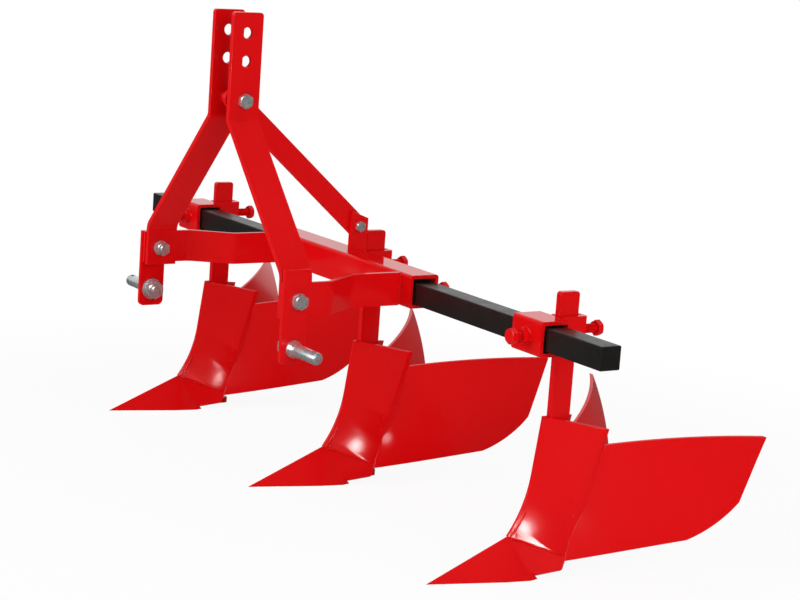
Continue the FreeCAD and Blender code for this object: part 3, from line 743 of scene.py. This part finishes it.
def raysOtherThanDiffuse(tree):
    path = addNode(tree, "ShaderNodeLightPath")
    seen = addNode(tree, "ShaderNodeMath", {0: path.outputs["Is Camera Ray"],
                                            1: path.outputs["Is Transmission Ray"]}, operation="MAXIMUM")
    return seen.outputs[0], path.outputs["Is Glossy Ray"]


def addFloor():
    bpy.ops.object.select_all(action="DESELECT")
    bpy.ops.mesh.primitive_plane_add(size=studio["floorSize"], location=(0, 0, lo.z - mm(studio["floorDrop"])))
    floor = bpy.context.object
    floor.name = "floor"
    # Matt white paper, lit up towards the viewer so that only a faint contact shadow is left.
    material, tree, place = newMaterial("whiteFloor")
    paper = addNode(tree, "ShaderNodeBsdfDiffuse", {"Color": linear("#F4F4F4")})
    glow = addNode(tree, "ShaderNodeEmission", {"Color": linear("#FFFFFF"), "Strength": 1.0})
    dim = addNode(tree, "ShaderNodeEmission", {"Color": linear("#FFFFFF"), "Strength": studio["frontMirror"]})
    seen, glossy = raysOtherThanDiffuse(tree)
    away = addNode(tree, "ShaderNodeVectorMath", {0: place}, operation="LENGTH")
    lit = addNode(tree, "ShaderNodeMapRange",
                  {"Value": away.outputs["Value"], "From Min": studio["shadowFrom"],
                   "From Max": studio["shadowTo"], "To Min": 1 - studio["shadowShare"], "To Max": 1.0})
    share = addNode(tree, "ShaderNodeMath", {0: seen, 1: lit.outputs["Result"]}, operation="MULTIPLY")
    mixed = addNode(tree, "ShaderNodeMixShader",
                    {0: share.outputs[0], 1: paper.outputs["BSDF"], 2: glow.outputs["Emission"]})
    mixed = addNode(tree, "ShaderNodeMixShader",
                    {0: glossy, 1: mixed.outputs["Shader"], 2: dim.outputs["Emission"]})
    addNode(tree, "ShaderNodeOutputMaterial", {"Surface": mixed.outputs["Shader"]})
    floor.data.materials.append(material)


def addWorld():
    world = bpy.data.worlds.new("studio")
    bpy.context.scene.world = world
    world.use_nodes = True
    tree = world.node_tree
    tree.nodes.clear()
    seen, glossy = raysOtherThanDiffuse(tree)
    heading = addNode(tree, "ShaderNodeTexCoord")
    beyond = addNode(tree, "ShaderNodeVectorMath", {0: heading.outputs["Generated"], 1: viewDirection},
                     operation="DOT_PRODUCT")
    mirror = addNode(tree, "ShaderNodeMapRange",
                     {"Value": beyond.outputs["Value"],
                      "From Min": studio["mirrorFrom"], "From Max": studio["mirrorTo"],
                      "To Min": studio["frontMirror"], "To Max": studio["backMirror"]})
    soft = addNode(tree, "ShaderNodeMapRange", {"Value": seen, "From Min": 0.0, "From Max": 1.0,
                                                "To Min": studio["worldLight"], "To Max": 1.0})
    strength = addNode(tree, "ShaderNodeMix", {"Factor": glossy, "A": soft.outputs["Result"],
                                               "B": mirror.outputs["Result"]})
    glow = addNode(tree, "ShaderNodeBackground", {"Color": linear("#FFFFFF"),
                                                  "Strength": strength.outputs["Result"]})
    addNode(tree, "ShaderNodeOutputWorld", {"Surface": glow.outputs["Background"]})


def addLamp(name, place, target, size, power, forMatt, forGloss):
    lamp = bpy.data.lights.new(name, "AREA")
    lamp.shape = "RECTANGLE"
    lamp.size, lamp.size_y = size
    lamp.energy = power
    holder = bpy.data.objects.new(name, lamp)
    bpy.context.scene.collection.objects.link(holder)
    holder.location = place
    holder.rotation_euler = (Vector(target) - Vector(place)).to_track_quat("-Z", "Y").to_euler()
    holder.visible_camera = False
    holder.visible_diffuse = forMatt
    holder.visible_glossy = forGloss


camera = {"place": (3.356, -2.12, 1.111), "azimuth": 56.312, "elevation": 10.804, "roll": 4.086, "lens": 96.72,
          "sensor": 36}


def addCamera():
    data = bpy.data.cameras.new("camera")
    data.lens = camera["lens"]
    data.sensor_width = camera["sensor"]
    data.clip_end = 100
    holder = bpy.data.objects.new("camera", data)
    bpy.context.scene.collection.objects.link(holder)
    azimuth, elevation, roll = (math.radians(camera[k]) for k in ("azimuth", "elevation", "roll"))
    forward = Vector((-math.sin(azimuth) * math.cos(elevation), math.cos(azimuth) * math.cos(elevation),
                      -math.sin(elevation)))
    right = Vector((math.cos(azimuth), math.sin(azimuth), 0))
    up = right.cross(forward)
    rolledRight = right * math.cos(roll) + up * math.sin(roll)
    rolledUp = up * math.cos(roll) - right * math.sin(roll)
    holder.matrix_world = Matrix.Translation(camera["place"]) @ Matrix(
        (rolledRight, rolledUp, -forward)).transposed().to_4x4()
    bpy.context.scene.camera = holder


addFloor()
addWorld()
for name, look in lamps.items():
    addLamp(name, *look)
addCamera()
bpy.context.scene.view_settings.view_transform = "Standard"
print("floor, lamps and camera ready")
